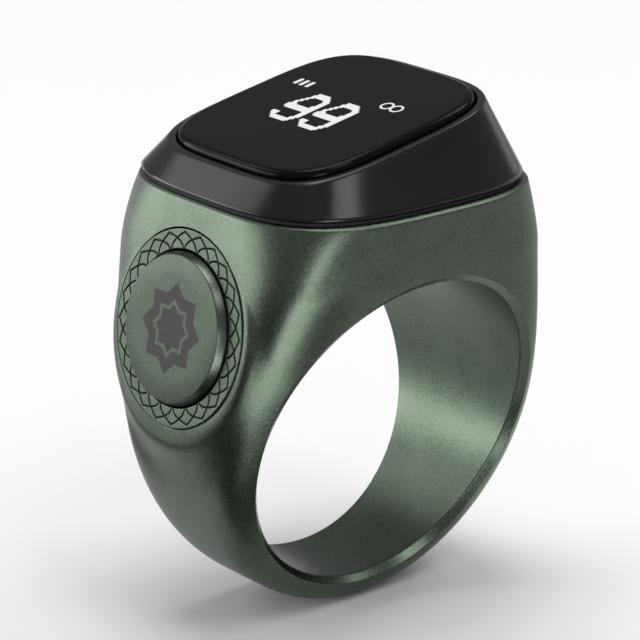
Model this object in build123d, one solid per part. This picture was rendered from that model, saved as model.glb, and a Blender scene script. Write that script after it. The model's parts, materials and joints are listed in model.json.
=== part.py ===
from build123d import *
from math import atan2, cos, pi, radians, sin, sqrt, tan
import os

# Finger-worn digital tasbih counter, in millimetres. The origin is the middle of the finger bore, the bore
# runs along Y, Z goes up through the head, and the count button is on the -X flank.

# Ring body: the bore sets the rest, and the head follows the shank's circle
BORE_R = 10.0
SHANK_T = 2.15
BASE_T = 1.75
RIM_BEVEL = 0.3
RIM_BEVEL_Y = 0.6
SHANK_WIDTH = 7.1
MID_WIDTH = 12.2
HEAD_INSET = 1.85
HEAD_LEAN = 1.55
HEAD_FLARE = 0.75
HEAD_RISE = 4.76
SQUARENESS = 3.2
MID_SQUARENESS = 5.6
BASE_SQUARENESS = 6.4
LIP_CHAMFER = 0.15
WALL_T = 2.0
FLOOR_T = 1.0

# Button on the flank
BUTTON_TILT = 12.0
FLANK_TUCK = 0.32
FLANK_INSET = 0.1
BOSS_R = 6.4
BOSS_FLARE = 1.3
BOSS_DEPTH = 3.0
BOSS_EDGE = 0.4
TRIM_WIDTH = 1.18
TRIM_T = 0.5
CAP_R = 4.55
CAP_PROUD = 0.55
CAP_CHAMFER = 0.5
CAP_GAP = 0.12
FLANGE_WIDTH = 0.45
FLANGE_T = 0.3
NUB_R = 0.6
NUB_H = 0.25
BUTTON_TRAVEL = 0.3
STOP_PAD_T = 0.23
STOP_PAD_WIDTH = 1.1
PLUNGER_R = 0.8
PLUNGER_H = 0.5
SWITCH_SIZE = 3.2
SWITCH_T = 0.65
FLEX_T = 0.12
FLEX_WIDTH = 2.0
STIFFENER_T = 0.18
RECESS_R = 2.6

# Bezel and display, on a plane that rises toward +X
DISPLAY_TILT = 11.1
TOP_X = -0.43
TOP_RISE = 3.46
TOP_INSET_X = 2.08
TOP_INSET_Y = 2.38
TOP_SQUARENESS = 3.75
BASE_INSET = 0.25
BAND_H = 0.4
BAND_INSET = 0.25
GASKET_T = 0.2
SKIRT_T = 0.5
SKIRT_DEPTH = 0.9
TOP_RIM_X = 0.54
TOP_RIM_Y = 0.59
LENS_SQUARENESS = 3.9
LENS_PROUD = 0.47
LENS_EDGE = 0.4
LENS_GAP = 0.12
LENS_RECESS = 0.85
LEDGE_T = 0.5
LEDGE_WIDTH = 0.7
ADHESIVE_T = 0.1
PANEL_SHARE = 0.82
PANEL_T = 0.95
FOAM_T = 0.2
FOAM_INSET = 0.3
CARRIER_T = 0.45

# Heights of the board, the cell and what stands on the board
BOARD_DROP = 0.41
BOARD_CLEAR = 0.8
PCB_T = 0.6
PCB_GAP = 0.4
TAPE_T = 0.15
SCREW_HEAD_H = 0.3
SCREW_L = 2.0
CHIP_T = 0.8
CHARGER_T = 0.55
CRYSTAL_T = 0.5
ANTENNA_T = 1.1
PASSIVE_T = 0.4
MOTOR_H = 1.55
MOTOR_WALL = 0.15
ROTOR_H = 0.7
ROTOR_ANGLE = 200.0
MOTOR_SHAFT_R = 0.25
CONNECTOR_LENGTH = 0.9
CONNECTOR_WIDTH = 2.6

# Charging port in the bore
INSULATOR_X = 2.6
INSULATOR_Y = 6.0
CONTACT_R = 0.7
CONTACT_PITCH = 3.6
CONTACT_RECESS = 0.08
MAGNET_R = 1.2
MAGNET_H = 1.0

# Clearances, and how far a cutter runs past what it cuts
FIT = 0.05
SNUG = 0.02
RUNNING = 0.1
OVERCUT = 1.0

# How finely the curves are drawn
OUTLINE_POINTS = 32
SPAN_POINTS = 21
SPLIT_MARGIN = 0.05
SECTION_STEP = 30
HEAD_LEVELS = (0, 0.35, 0.7, 0.9, 1)

# Body sizes worked out from those above
SHANK_R = BORE_R + SHANK_T
RIM_R = BORE_R + RIM_BEVEL
HEAD_Z = BORE_R + HEAD_RISE
HEAD_HALF = SHANK_R - HEAD_INSET
CROWN_WIDTH = 2 * (HEAD_HALF - HEAD_FLARE)
CAVITY_HALF = HEAD_HALF - WALL_T
FLOOR_Z = BORE_R + FLOOR_T

# The flank's plane meets the head's seat just inside its outline, and the button is half way up it
tilt = radians(BUTTON_TILT)
BUTTON_Z = HEAD_Z / 2
BUTTON_X = FLANK_TUCK - HEAD_HALF - (HEAD_Z - BUTTON_Z) * tan(tilt)
FLANK = Plane(origin=(BUTTON_X, 0, BUTTON_Z), x_dir=(0, -1, 0), z_dir=(-cos(tilt), 0, sin(tilt)))
BORE_AXIS = Rot(90, 0, 0)

# Depths below the boss face, along the way the button goes in
HOLE_R = CAP_R + CAP_GAP
TRIM_R = HOLE_R + TRIM_WIDTH
FLANGE_R = CAP_R + FLANGE_WIDTH
FLANGE_TOP = TRIM_T + FIT
FLANGE_BASE = FLANGE_TOP + FLANGE_T
POCKET_R = FLANGE_R + CAP_GAP
PAD_TOP = FLANGE_BASE + BUTTON_TRAVEL + SNUG
POCKET_DEPTH = PAD_TOP + STOP_PAD_T
NUB_BASE = FLANGE_BASE + NUB_H
PLUNGER_TOP = NUB_BASE + SNUG
SWITCH_TOP = POCKET_DEPTH
SWITCH_BASE = max(SWITCH_TOP + SWITCH_T, PLUNGER_TOP + PLUNGER_H + BUTTON_TRAVEL + SNUG)
FLEX_BASE = SWITCH_BASE + FLEX_T
RECESS_DEPTH = FLEX_BASE + STIFFENER_T

# Bezel and display stack; the heights from LENS_BASE down are over the display's plane
slope = radians(DISPLAY_TILT)
TOP_Z = HEAD_Z + TOP_RISE
DISPLAY = Plane(origin=(TOP_X, 0, TOP_Z), x_dir=(cos(slope), 0, sin(slope)),
                z_dir=(-sin(slope), 0, cos(slope)))
BEZEL_Z = HEAD_Z + GASKET_T
BASE_HALF = HEAD_HALF - BASE_INSET
SKIRT_HALF = CAVITY_HALF - FIT
TOP_HALF_X = HEAD_HALF - TOP_INSET_X
TOP_HALF_Y = HEAD_HALF - TOP_INSET_Y
LENS_HALF_X = TOP_HALF_X - TOP_RIM_X
LENS_HALF_Y = TOP_HALF_Y - TOP_RIM_Y
LENS_BASE = ADHESIVE_T - LENS_RECESS
PANEL_BASE = LENS_BASE - PANEL_T
FOAM_BASE = PANEL_BASE - FOAM_T
CARRIER_BASE = FOAM_BASE - CARRIER_T
PANEL_HALF_X = (LENS_HALF_X - LEDGE_WIDTH) * PANEL_SHARE
PANEL_HALF_Y = (LENS_HALF_Y - LEDGE_WIDTH) * PANEL_SHARE

# The cell fills the height between the floor's tape and the board
PCB_HALF = CAVITY_HALF - BOARD_CLEAR
PCB_TOP = HEAD_Z - BOARD_DROP
PCB_Z = PCB_TOP - PCB_T
CELL_Z = FLOOR_Z + TAPE_T
CELL_TOP = PCB_Z - PCB_GAP

# The board's layout, on a grid of fifteen steps from its middle to its edge
GRID = PCB_HALF / 15
CELL_X = 22.4 * GRID
CELL_Y = 28 * GRID
POST_X = 13.1 * GRID
POST_Y = 6 * GRID
POST_R = 1.5 * GRID
SCREW_R = 0.9 * GRID
SCREW_HEAD_R = 1.4 * GRID
CHIP_SIZE = 9 * GRID
CHARGER_SIZE = 4 * GRID
CRYSTAL_X = 4 * GRID
CRYSTAL_Y = 3.2 * GRID
ANTENNA_X = 6.4 * GRID
ANTENNA_Y = 3.2 * GRID
PASSIVE_X = 2 * GRID
PASSIVE_Y = GRID
MOTOR_R = 5 * GRID
HUB_R = 3 * MOTOR_SHAFT_R
LEG_R = 1.2 * GRID
MAGNET_X = 8.8 * GRID
CHIP_AT = (-1.2, 6.4)
CHARGER_AT = (-5.2, -5.2)
CRYSTAL_AT = (6.2, 2.8)
ANTENNA_AT = (4.4, 12.6)
MOTOR_AT = (6.4, -6.8)
LEGS_AT = [(-9.8, -4.4), (-9.8, 4.4), (9.2, 7.2)]
PASSIVES_AT = [(-5.2, -9.2), (-2, -9.2), (-1.2, -6), (-7.2, 0), (-4, 0), (-0.8, -2.4)]


def on_grid(step):
    """A place on the board's grid, in millimetres from its middle."""
    return step[0] * GRID, step[1] * GRID


def superellipse_point(half_x, half_y, power, angle):
    """The point of |x/half_x|^power + |y/half_y|^power = 1 at an angle of the circle it is made from."""
    c = cos(angle)
    s = sin(angle)
    scale = (abs(c) ** power + abs(s) ** power) ** (-1 / power)
    return half_x * c * scale, half_y * s * scale


def superellipse(half_x, half_y, power):
    """A closed superellipse face."""
    step = 2 * pi / OUTLINE_POINTS
    ring = [superellipse_point(half_x, half_y, power, step * i) for i in range(OUTLINE_POINTS)]
    return make_face(Spline(*ring, periodic=True))


def superellipse_span(half_x, half_y, power, start, end, place):
    """The part of a superellipse between two angles, carried into space by place(x, y)."""
    step = (end - start) / (SPAN_POINTS - 1)
    spots = [superellipse_point(half_x, half_y, power, start + step * i) for i in range(SPAN_POINTS)]
    return Spline(*[place(*spot) for spot in spots])


def slab(plane, half_x, half_y, power, low, high):
    """A superellipse slab between two heights over a plane."""
    return extrude(plane.offset(low) * superellipse(half_x, half_y, power), high - low, dir=plane.z_dir)


def flat_slab(half, power, low, high):
    return slab(Plane.XY, half, half, power, low, high)


def drum(radius, deep, shallow):
    """A cylinder on the button's axis between two depths below the boss face."""
    return FLANK * Pos(0, 0, -(deep + shallow) / 2) * Cylinder(radius, deep - shallow)


def upright(radius, x, y, low, high):
    return Pos(x, y, (low + high) / 2) * Cylinder(radius, high - low)


def block(size_x, size_y, x, y, low, high):
    return Pos(x, y, (low + high) / 2) * Box(size_x, size_y, high - low)


def rim_half_width(rise):
    """Half the ring's width at the bore's rim, from rise -1 at the bottom to +1 at the top of the bore."""
    straight = (CROWN_WIDTH - SHANK_WIDTH) / 4
    curve = (CROWN_WIDTH + SHANK_WIDTH) / 4 - MID_WIDTH / 2
    return MID_WIDTH / 2 + straight * rise + curve * rise * rise


def full_half_width(rim_half, rim_reach, reach, power):
    """Half width of the whole section whose side passes the rim at rim_reach from the middle."""
    return rim_half / (1 - (rim_reach / reach) ** power) ** (1 / power)


def split_angle(power):
    """The angle of a section's curve just past where it runs into the bore."""
    share = BORE_R / SHANK_R
    return atan2((1 - share ** power) ** (1 / power), share) + SPLIT_MARGIN


def shank_curve(angle):
    """The outside of the shank's D section in the radial plane at an angle from +X. It thins toward the base."""
    drop = -sin(angle)
    reach = SHANK_R - (SHANK_T - BASE_T) * drop * (3 - drop) / 2
    power = MID_SQUARENESS + (BASE_SQUARENESS - MID_SQUARENESS) * drop
    half = full_half_width(rim_half_width(-drop), RIM_R, reach, power)
    split = split_angle(power)
    return superellipse_span(reach, half, power, -split, split,
                             lambda r, y: (r * cos(angle), y, r * sin(angle)))


def shank():
    """The lower half ring, lofted through D sections from +X down and round to -X."""
    sections = []
    for degrees in range(0, -180 - SECTION_STEP, -SECTION_STEP):
        curve = shank_curve(radians(degrees))
        sections.append(Face(Wire([curve, Line(curve @ 1, curve @ 0)])))
    return loft(sections)


def flank_reach(z):
    """How far the button's plane stands out from the ring's middle at a height."""
    return -BUTTON_X - (z - BUTTON_Z) * tan(tilt)


def head_section(z, left, right, half, power):
    """A level section of the head: +X flank, back, -X flank and front, each as one curve."""
    split = split_angle(power)
    spans = [(right, -split, split), (None, split, pi - split), (left, pi - split, pi + split),
             (None, pi + split, 2 * pi - split)]
    edges = []
    for reach, start, end in spans:
        if reach:
            edges.append(superellipse_span(reach, half, power, start, end, lambda x, y: (x, y, z)))
        else:
            def place(x, y):
                return (x * (right if x >= 0 else left), y, z)
            edges.append(superellipse_span(1, half, power, start, end, place))
    return Face(Wire(edges))


def head():
    """The upper body, lofted from the middle of the bore to the lip, and the lip's bevel round the seat."""
    lip_z = HEAD_Z - LIP_CHAMFER
    sections = []
    for level in HEAD_LEVELS:
        z = level * lip_z
        right = SHANK_R - HEAD_INSET * level ** HEAD_LEAN
        left = right if level in (0, 1) else flank_reach(z) - FLANK_INSET
        power = MID_SQUARENESS + (SQUARENESS - MID_SQUARENESS) * level ** HEAD_LEAN
        if z < RIM_R:
            half = full_half_width(rim_half_width(z / RIM_R), sqrt(RIM_R ** 2 - z ** 2), right, power)
        else:
            crown = rim_half_width(1)
            half = crown + (HEAD_HALF - crown) * (z - RIM_R) / (lip_z - RIM_R)
        sections.append(head_section(z, left, right, half, power))
    seat_half = HEAD_HALF - LIP_CHAMFER
    seat = head_section(HEAD_Z, seat_half, seat_half, seat_half, SQUARENESS)
    return loft(sections) + loft([sections[-1], seat], ruled=True)


def rim_bevel(side, start):
    """What is cut off half of the bore's rim on one side: a triangle carried round with the rim."""
    corners = [(-OVERCUT, -OVERCUT - 1), (OVERCUT + 1, OVERCUT), (-OVERCUT, OVERCUT)]
    sections = []
    for degrees in range(start, start + 180 + SECTION_STEP, SECTION_STEP):
        angle = radians(degrees)
        rim = rim_half_width(sin(angle))
        spots = [(BORE_R + i * RIM_BEVEL, side * (rim + j * RIM_BEVEL_Y)) for i, j in corners]
        around = [(r * cos(angle), y, r * sin(angle)) for r, y in spots]
        sections.append(Face(Wire.make_polygon(around, close=True)))
    return loft(sections)


def posts():
    return [(sx * POST_X, sy * POST_Y) for sx in (-1, 1) for sy in (-1, 1)]


def switch_channel():
    """The slot that takes the switch's flex from the recess up into the head."""
    low = RECESS_R / 2
    high = (HEAD_Z - BUTTON_Z) / cos(tilt)
    middle = FLANK * Pos(0, (low + high) / 2, -(SWITCH_BASE + FLEX_BASE) / 2)
    return middle * Box(FLEX_WIDTH + 2 * RUNNING, high - low, FLEX_T + 2 * RUNNING)


def ring_body():
    body = shank() + head()
    cone = Cone(BOSS_R + BOSS_FLARE, BOSS_R, BOSS_DEPTH, align=(Align.CENTER, Align.CENTER, Align.MAX))
    body += FLANK * fillet(cone.edges().sort_by(Axis.Z)[-1], BOSS_EDGE)
    body -= block(4 * HEAD_HALF, 4 * HEAD_HALF, 0, 0, HEAD_Z, HEAD_Z + HEAD_RISE)
    body -= BORE_AXIS * Cylinder(BORE_R, 4 * HEAD_HALF)
    for side in (-1, 1):
        body -= rim_bevel(side, 0)
        body -= rim_bevel(side, 180)
    body -= drum(TRIM_R + RUNNING, TRIM_T, -BOSS_DEPTH)
    body -= drum(POCKET_R, POCKET_DEPTH, 0)
    body -= drum(RECESS_R, RECESS_DEPTH, 0)
    body -= switch_channel()
    body -= flat_slab(CAVITY_HALF, SQUARENESS, FLOOR_Z, HEAD_Z + OVERCUT)
    body -= block(INSULATOR_X + 2 * SNUG, INSULATOR_Y + 2 * SNUG, 0, 0, 0, FLOOR_Z)
    for side in (-1, 1):
        body -= upright(MAGNET_R + SNUG, side * MAGNET_X, 0, FLOOR_Z - MAGNET_H, FLOOR_Z)
    for x, y in posts():
        post = upright(POST_R, x, y, FLOOR_Z - FIT, PCB_Z)
        body += post - upright(SCREW_R + SNUG, x, y, PCB_Z - SCREW_L, PCB_Z)
    return body


def bezel_gasket():
    return flat_slab(BASE_HALF - BAND_INSET, SQUARENESS, HEAD_Z, BEZEL_Z) - flat_slab(
        CAVITY_HALF, SQUARENESS, HEAD_Z - OVERCUT, BEZEL_Z + OVERCUT)


def top_bezel():
    foot = Pos(0, 0, BEZEL_Z) * superellipse(BASE_HALF - BAND_INSET, BASE_HALF - BAND_INSET, SQUARENESS)
    waist = Pos(0, 0, BEZEL_Z + BAND_H) * superellipse(BASE_HALF, BASE_HALF, SQUARENESS)
    crown = DISPLAY * superellipse(TOP_HALF_X, TOP_HALF_Y, TOP_SQUARENESS)
    shell = loft([foot, waist], ruled=True) + loft([waist, crown], ruled=True)
    shell += flat_slab(SKIRT_HALF, SQUARENESS, BEZEL_Z - SKIRT_DEPTH, BEZEL_Z)
    ledge_depth = LENS_RECESS + LEDGE_T
    inside_low = Pos(0, 0, BEZEL_Z) * superellipse(SKIRT_HALF - SKIRT_T, SKIRT_HALF - SKIRT_T, SQUARENESS)
    inside_high = DISPLAY.offset(-ledge_depth) * superellipse(LENS_HALF_X, LENS_HALF_Y, LENS_SQUARENESS)
    shell -= loft([inside_low, inside_high], ruled=True)
    shell -= flat_slab(SKIRT_HALF - SKIRT_T, SQUARENESS, BEZEL_Z - SKIRT_DEPTH, BEZEL_Z)
    shell -= slab(DISPLAY, LENS_HALF_X + LENS_GAP, LENS_HALF_Y + LENS_GAP, LENS_SQUARENESS,
                  -LENS_RECESS, OVERCUT)
    shell -= slab(DISPLAY, LENS_HALF_X - LEDGE_WIDTH, LENS_HALF_Y - LEDGE_WIDTH, LENS_SQUARENESS,
                  -ledge_depth, 0)
    return shell


def lens_adhesive():
    ring = slab(DISPLAY, LENS_HALF_X, LENS_HALF_Y, LENS_SQUARENESS, -LENS_RECESS, LENS_BASE)
    return ring - slab(DISPLAY, LENS_HALF_X - LEDGE_WIDTH, LENS_HALF_Y - LEDGE_WIDTH, LENS_SQUARENESS,
                       -LENS_RECESS - OVERCUT, LENS_BASE + OVERCUT)


def display_lens():
    glass = superellipse(LENS_HALF_X, LENS_HALF_Y, LENS_SQUARENESS)
    flat = extrude(glass, LENS_PROUD - LENS_BASE)
    return DISPLAY * Pos(0, 0, LENS_BASE) * fillet(flat.faces().sort_by(Axis.Z)[-1].edges(), LENS_EDGE)


def display_layer(inset, low, high):
    """A plain rectangular layer of the display stack, with rounded corners."""
    half_x = PANEL_HALF_X - inset
    half_y = PANEL_HALF_Y - inset
    outline = RectangleRounded(2 * half_x, 2 * half_y, LEDGE_WIDTH)
    return DISPLAY * Pos(0, 0, low) * extrude(outline, high - low)


def oled_flex():
    """The display's ribbon: out of the panel's +X edge, then down to the board."""
    ribbon_y = 2 * FLEX_WIDTH
    reach = LEDGE_WIDTH
    tab = DISPLAY * Pos(PANEL_HALF_X + reach / 2, 0, PANEL_BASE + FLEX_T / 2) * Box(reach, ribbon_y, FLEX_T)
    end = DISPLAY.from_local_coords((PANEL_HALF_X + reach - 2 * FLEX_T, 0, PANEL_BASE + FLEX_T / 2))
    return tab + block(FLEX_T, ribbon_y, end.X, 0, PCB_TOP, end.Z)


def inner_carrier():
    plate = display_layer(0, CARRIER_BASE, FOAM_BASE)
    under = DISPLAY * Pos(0, 0, CARRIER_BASE - TOP_Z / 2) * Box(2 * TOP_Z, 2 * TOP_Z, TOP_Z)
    for step in LEGS_AT:
        x, y = on_grid(step)
        plate += upright(LEG_R, x, y, PCB_TOP, TOP_Z) & under
    return plate


def main_pcb():
    board = flat_slab(PCB_HALF, SQUARENESS, PCB_Z, PCB_TOP)
    for x, y in posts():
        board -= upright(SCREW_R + SNUG, x, y, PCB_Z, PCB_TOP)
    return board


def on_board(size_x, size_y, height, step):
    x, y = on_grid(step)
    return block(size_x, size_y, x, y, PCB_TOP, PCB_TOP + height)


def pcb_passives():
    return Compound(children=[on_board(PASSIVE_X, PASSIVE_Y, PASSIVE_T, step) for step in PASSIVES_AT])


def pcb_screws():
    screws = []
    for x, y in posts():
        head = upright(SCREW_HEAD_R, x, y, PCB_TOP, PCB_TOP + SCREW_HEAD_H)
        screws.append(head + upright(SCREW_R, x, y, PCB_TOP - SCREW_L, PCB_TOP))
    return Compound(children=screws)


def battery_tape():
    inner = INSULATOR_X / 2
    width = CELL_X / 2 - inner
    return Compound(children=[block(width, CELL_Y, side * (inner + width / 2), 0, FLOOR_Z, CELL_Z)
                              for side in (-1, 1)])


def motor_part(solid):
    x, y = on_grid(MOTOR_AT)
    return Pos(x, y, PCB_TOP) * solid


def standing(radius, low, high):
    return Pos(0, 0, (low + high) / 2) * Cylinder(radius, high - low)


def motor_case():
    return motor_part(standing(MOTOR_R, 0, MOTOR_H) - standing(
        MOTOR_R - MOTOR_WALL, MOTOR_WALL, MOTOR_H - MOTOR_WALL))


def motor_shaft():
    return motor_part(standing(MOTOR_SHAFT_R, MOTOR_WALL, MOTOR_H - MOTOR_WALL))


def motor_rotor():
    """An eccentric weight: a wide sector and a hub, both on the shaft."""
    low = (MOTOR_H - ROTOR_H) / 2
    radius = MOTOR_R - MOTOR_WALL - RUNNING
    sector = Pos(0, 0, low) * Cylinder(radius, ROTOR_H, arc_size=ROTOR_ANGLE,
                                       align=(Align.NONE, Align.NONE, Align.MIN))
    hub = standing(HUB_R, low, low + ROTOR_H)
    return motor_part(sector + hub - standing(MOTOR_SHAFT_R + FIT, 0, MOTOR_H))


def count_button():
    cap = Cylinder(CAP_R, CAP_PROUD + FLANGE_BASE, align=(Align.CENTER, Align.CENTER, Align.MAX))
    cap = FLANK * Pos(0, 0, CAP_PROUD) * chamfer(cap.edges().sort_by(Axis.Z)[-1], CAP_CHAMFER)
    return cap + drum(FLANGE_R, FLANGE_BASE, FLANGE_TOP) + drum(NUB_R, NUB_BASE, FLANGE_BASE)


def button_trim_ring():
    return drum(TRIM_R, TRIM_T, 0) - drum(HOLE_R, TRIM_T, 0)


def button_stop_pad():
    return drum(FLANGE_R, POCKET_DEPTH, PAD_TOP) - drum(FLANGE_R - STOP_PAD_WIDTH, POCKET_DEPTH, PAD_TOP)


def switch_body():
    height = SWITCH_BASE - SWITCH_TOP
    box = FLANK * Pos(0, 0, -(SWITCH_TOP + SWITCH_BASE) / 2) * Box(SWITCH_SIZE, SWITCH_SIZE, height)
    return box - drum(PLUNGER_R + FIT, SWITCH_BASE, SWITCH_TOP)


def switch_plunger():
    return drum(PLUNGER_R, PLUNGER_TOP + PLUNGER_H, PLUNGER_TOP)


def switch_flex_top():
    """Where the switch's flex leaves its plane and runs level to the board's connector."""
    lift = (PCB_Z - BUTTON_Z) / cos(tilt) - 2 * FLEX_T
    return FLANK.from_local_coords((0, lift, -(SWITCH_BASE + FLEX_BASE) / 2)), lift


def connector_box():
    end, lift = switch_flex_top()
    return end.X + FLEX_T + CONNECTOR_LENGTH / 2, end.Z


def switch_flex():
    end, lift = switch_flex_top()
    low = -SWITCH_SIZE / 2
    strip = FLANK * Pos(0, (low + lift) / 2, -(SWITCH_BASE + FLEX_BASE) / 2)
    strip = strip * Box(FLEX_WIDTH, lift - low, FLEX_T)
    x, z = connector_box()
    foot_end = x + CONNECTOR_LENGTH / 2
    foot_x = (foot_end + end.X) / 2
    return strip + block(foot_end - end.X, FLEX_WIDTH, foot_x, 0, z - FLEX_T / 2, z + FLEX_T / 2)


def switch_stiffener():
    middle = -(FLEX_BASE + RECESS_DEPTH) / 2
    return FLANK * Pos(0, 0, middle) * Box(SWITCH_SIZE, SWITCH_SIZE, STIFFENER_T)


def flex_connector():
    x, z = connector_box()
    return block(CONNECTOR_LENGTH, CONNECTOR_WIDTH, x, 0, z + FLEX_T / 2, PCB_Z)


def contact_places():
    return [side * CONTACT_PITCH / 2 for side in (-1, 1)]


def port_bore(recess):
    """The bore, made larger so that what it cuts stays back from the finger."""
    return BORE_AXIS * Cylinder(BORE_R + recess, 4 * HEAD_HALF)


def contact_insulator():
    body = block(INSULATOR_X, INSULATOR_Y, 0, 0, 0, FLOOR_Z) - port_bore(FIT)
    for y in contact_places():
        body -= upright(CONTACT_R + SNUG, 0, y, 0, FLOOR_Z)
    return body


def charging_contacts():
    return Compound(children=[upright(CONTACT_R, 0, y, 0, FLOOR_Z) - port_bore(CONTACT_RECESS)
                              for y in contact_places()])


def charging_flex():
    wall_y = -CELL_Y / 2 - 2 * FLEX_T
    end_y = CONTACT_PITCH / 2 + CONTACT_R
    strip = block(FLEX_WIDTH, end_y - wall_y, 0, (end_y + wall_y) / 2, FLOOR_Z, FLOOR_Z + FLEX_T)
    return strip + block(FLEX_WIDTH, FLEX_T, 0, wall_y + FLEX_T / 2, FLOOR_Z, PCB_Z)


def charger_magnets():
    return Compound(children=[upright(MAGNET_R, side * MAGNET_X, 0, FLOOR_Z - MAGNET_H, FLOOR_Z)
                              for side in (-1, 1)])


PIECES = {
    "ring_body": ring_body(),
    "bezel_gasket": bezel_gasket(),
    "top_bezel": top_bezel(),
    "lens_adhesive": lens_adhesive(),
    "display_lens": display_lens(),
    "oled_panel": display_layer(0, PANEL_BASE, LENS_BASE),
    "display_foam": display_layer(FOAM_INSET, FOAM_BASE, PANEL_BASE),
    "oled_flex": oled_flex(),
    "inner_carrier": inner_carrier(),
    "main_pcb": main_pcb(),
    "bluetooth_chip": on_board(CHIP_SIZE, CHIP_SIZE, CHIP_T, CHIP_AT),
    "charger_chip": on_board(CHARGER_SIZE, CHARGER_SIZE, CHARGER_T, CHARGER_AT),
    "crystal": on_board(CRYSTAL_X, CRYSTAL_Y, CRYSTAL_T, CRYSTAL_AT),
    "chip_antenna": on_board(ANTENNA_X, ANTENNA_Y, ANTENNA_T, ANTENNA_AT),
    "pcb_passives": pcb_passives(),
    "pcb_screws": pcb_screws(),
    "battery_cell": block(CELL_X, CELL_Y, 0, 0, CELL_Z, CELL_TOP),
    "battery_tape": battery_tape(),
    "motor_case": motor_case(),
    "motor_shaft": motor_shaft(),
    "motor_rotor": motor_rotor(),
    "count_button": count_button(),
    "button_trim_ring": button_trim_ring(),
    "button_stop_pad": button_stop_pad(),
    "switch_body": switch_body(),
    "switch_plunger": switch_plunger(),
    "switch_flex": switch_flex(),
    "switch_stiffener": switch_stiffener(),
    "flex_connector": flex_connector(),
    "contact_insulator": contact_insulator(),
    "charging_contacts": charging_contacts(),
    "charging_flex": charging_flex(),
    "charger_magnets": charger_magnets(),
}

os.makedirs("parts", exist_ok=True)
for name, piece in PIECES.items():
    export_step(piece, f"parts/{name}.step")
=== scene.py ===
# %% [markdown]
# # A finger-worn tasbih counter
# A sage-green metal ring carries a tilted black display on its head and a round count button on its flank.
# The solid model says where everything is and what moves. This file gives each piece the surface that eye
# and hand meet: soft blends, bevels, an engraved lattice, blasted metal and polished black. The first cell
# loads the solid model as a fixed frame.

# %% Load the frame
import json

import bmesh
import bpy
import numpy as np
from mathutils import Matrix, Vector


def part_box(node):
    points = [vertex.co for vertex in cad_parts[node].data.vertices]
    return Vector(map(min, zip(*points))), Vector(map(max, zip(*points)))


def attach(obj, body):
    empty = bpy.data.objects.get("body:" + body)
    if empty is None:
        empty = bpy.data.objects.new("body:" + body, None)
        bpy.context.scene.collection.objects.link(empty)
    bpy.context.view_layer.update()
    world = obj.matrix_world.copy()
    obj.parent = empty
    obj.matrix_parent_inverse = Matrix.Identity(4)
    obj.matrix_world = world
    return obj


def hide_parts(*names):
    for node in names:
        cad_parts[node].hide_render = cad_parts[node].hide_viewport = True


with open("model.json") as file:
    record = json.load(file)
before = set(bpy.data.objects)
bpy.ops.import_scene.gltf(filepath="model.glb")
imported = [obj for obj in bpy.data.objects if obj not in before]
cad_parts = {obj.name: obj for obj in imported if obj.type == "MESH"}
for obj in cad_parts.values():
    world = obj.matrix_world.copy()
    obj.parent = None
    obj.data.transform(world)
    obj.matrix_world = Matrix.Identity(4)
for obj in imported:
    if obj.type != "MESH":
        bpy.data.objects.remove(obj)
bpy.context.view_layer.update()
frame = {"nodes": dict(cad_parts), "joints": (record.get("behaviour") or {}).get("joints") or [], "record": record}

scene = bpy.context.scene
scene.view_settings.view_transform = "Standard"

# %% [markdown]
# ## Sizes
# Lengths are millimetres, as a ring is measured, and turn into metres only when a mesh is made. The main
# sizes are read from the frame, so this file follows the solids: the bore from its mount, the head and
# shank from the body's box, and the button's plane from its joint and its trim ring.

# %% Sizes from the frame
MM = 0.001


def box_mm(node):
    """A node's lowest and highest corner in millimetres."""
    low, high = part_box(node)
    return np.array(low) / MM, np.array(high) / MM


body_low, body_high = box_mm("ring_body")
trim_low, trim_high = box_mm("button_trim_ring")
BORE_R = frame["record"]["mounts"][0]["dims"]["r_mm"]
SHANK_R = body_high[0]
BASE_R = -body_low[2]
HEAD_HALF = body_high[1]
HEAD_Z = box_mm("bezel_gasket")[0][2]
HEAD_FLOOR_Z = box_mm("battery_tape")[0][2]
press_axis = next(j["axis"] for j in frame["joints"] if j["name"] == "button_press")
BUTTON_OUT = -np.array(press_axis) / np.linalg.norm(press_axis)
BUTTON_UP = np.array([BUTTON_OUT[2], 0, -BUTTON_OUT[0]])
BUTTON_SIDE = np.array([0, -1, 0])
TRIM_R = (trim_high[1] - trim_low[1]) / 2
TRIM_T = (trim_high[0] - trim_low[0] - 2 * TRIM_R * BUTTON_OUT[2]) / -BUTTON_OUT[0]
BUTTON_AT = (trim_low + trim_high) / 2 + BUTTON_OUT * TRIM_T / 2
print("bore", BORE_R, "shank", SHANK_R, BASE_R, "head", HEAD_HALF, HEAD_Z)
print("trim ring", TRIM_R, TRIM_T, "at", BUTTON_AT)

# %% [markdown]
# ## From a grid of points to a mesh
# Every new surface is a grid: rows and columns of points given by a formula. One helper numbers the quads
# of a grid, and another puts several grids into one mesh. Where grids share an edge their points coincide,
# so merging doubles sews them together. All faces are smooth, and a crisp edge comes from two rows of
# points close together, like the small edge break on real metal.

# %% Quads of a grid
def grid_faces(rows, cols, ring):
    """Quads of a grid numbered row by row. A ring grid joins its last column to its first."""
    r = np.arange(rows - 1)[:, None]
    c = np.arange(cols if ring else cols - 1)[None, :]
    after = (c + 1) % cols
    corners = [r * cols + c, r * cols + after, (r + 1) * cols + after, (r + 1) * cols + c]
    return np.stack(corners, -1).reshape(-1, 4)


print("quads of a ring with 3 rows and 8 columns:", len(grid_faces(3, 8, True)))

# %% Grids joined into one piece
MERGE_MM = 0.0005


def add_object(name, data):
    """Puts a mesh, a lamp or a camera into the scene."""
    made = bpy.data.objects.new(name, data)
    scene.collection.objects.link(made)
    return made


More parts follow.
